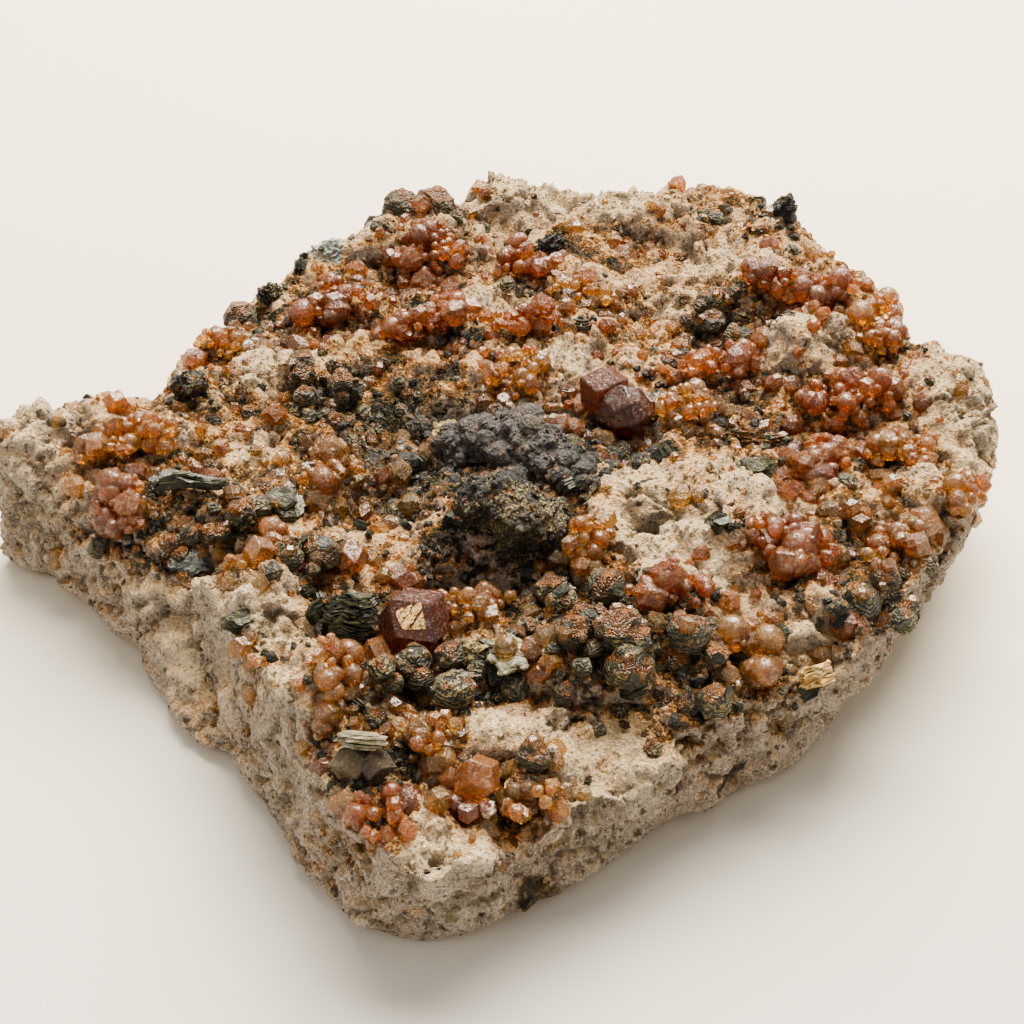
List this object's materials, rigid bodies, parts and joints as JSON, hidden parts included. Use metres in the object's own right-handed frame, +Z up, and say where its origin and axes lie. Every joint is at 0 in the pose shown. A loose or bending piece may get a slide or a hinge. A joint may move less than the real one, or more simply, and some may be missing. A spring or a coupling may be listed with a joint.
{
  "type": "garnet in matrix specimen",
  "caption": "Broken slab of pale granular feldspar, its top overgrown with orange to dark red garnet crystals, dark quartz and mica.",
  "frame": {"origin": "on the flat underside, at the centre of the whole specimen's bounding box", "axes": "+Z up out of the crystal-covered top, -Y towards the sharp front corner, -X towards the narrow left tip"},
  "size_m": [0.1324, 0.1304, 0.0279],
  "materials": {
    "matrix": "dull, granular, speckled with dark grains",
    "garnet_orange": "glassy, translucent orange",
    "garnet_red": "glassy, translucent dark red",
    "garnet_brown": "resinous, nearly opaque brown",
    "dark_quartz": "pitted, dull to glassy",
    "mica": "pearly, in thin sheets"
  },
  "bodies": {
    "root": {"dark_quartz_back": "dark_quartz", "dark_quartz_back_corner": "dark_quartz", "dark_quartz_front": "dark_quartz", "dark_quartz_left_rim": "dark_quartz", "dark_quartz_right_rim": "dark_quartz", "garnet_front": "garnet_orange", "garnet_main": "garnet_red", "garnets_back_bright": "garnet_orange", "garnets_back_dark": "garnet_brown", "garnets_back_left_peak": "garnet_brown", "garnets_back_left_red": "garnet_red", "garnets_back_red": "garnet_red", "garnets_back_right_band": "garnet_red", "garnets_back_right_rim": "garnet_orange", "garnets_centre": "garnet_orange", "garnets_centre_back": "garnet_red", "garnets_centre_pair": "garnet_red", "garnets_centre_right": "garnet_orange", "garnets_dark_centre": "garnet_brown", "garnets_dark_front": "garnet_brown", "garnets_dark_mass": "garnet_brown", "garnets_far_right": "garnet_orange", "garnets_front_dim": "garnet_brown", "garnets_front_edge": "garnet_orange", "garnets_front_knob": "garnet_red", "garnets_front_left": "garnet_orange", "garnets_front_row": "garnet_orange", "garnets_left_brown": "garnet_brown", "garnets_left_centre": "garnet_red", "garnets_left_corner": "garnet_orange", "garnets_left_edge": "garnet_red", "garnets_left_hollow": "garnet_brown", "garnets_left_inner": "garnet_orange", "garnets_left_rim_red": "garnet_red", "garnets_left_shelf": "garnet_orange", "garnets_lens": "garnet_orange", "garnets_lower_left": "garnet_orange", "garnets_main_flank": "garnet_orange", "garnets_mid_right": "garnet_red", "garnets_mottled_inner": "garnet_orange", "garnets_mottled_left": "garnet_brown", "garnets_olive_mass": "garnet_brown", "garnets_right_band": "garnet_orange", "garnets_right_cluster": "garnet_red", "garnets_right_front": "garnet_orange", "garnets_right_inner": "garnet_red", "garnets_right_pair": "garnet_red", "garnets_right_rim": "garnet_brown", "garnets_right_row": "garnet_red", "garnets_right_upper": "garnet_orange", "matrix": "matrix", "mica_blades_left": "mica", "mica_book_front": "mica", "mica_dark_main": "dark_quartz", "mica_right_rim": "mica", "mica_silver": "mica"}
  },
  "joints": []
}
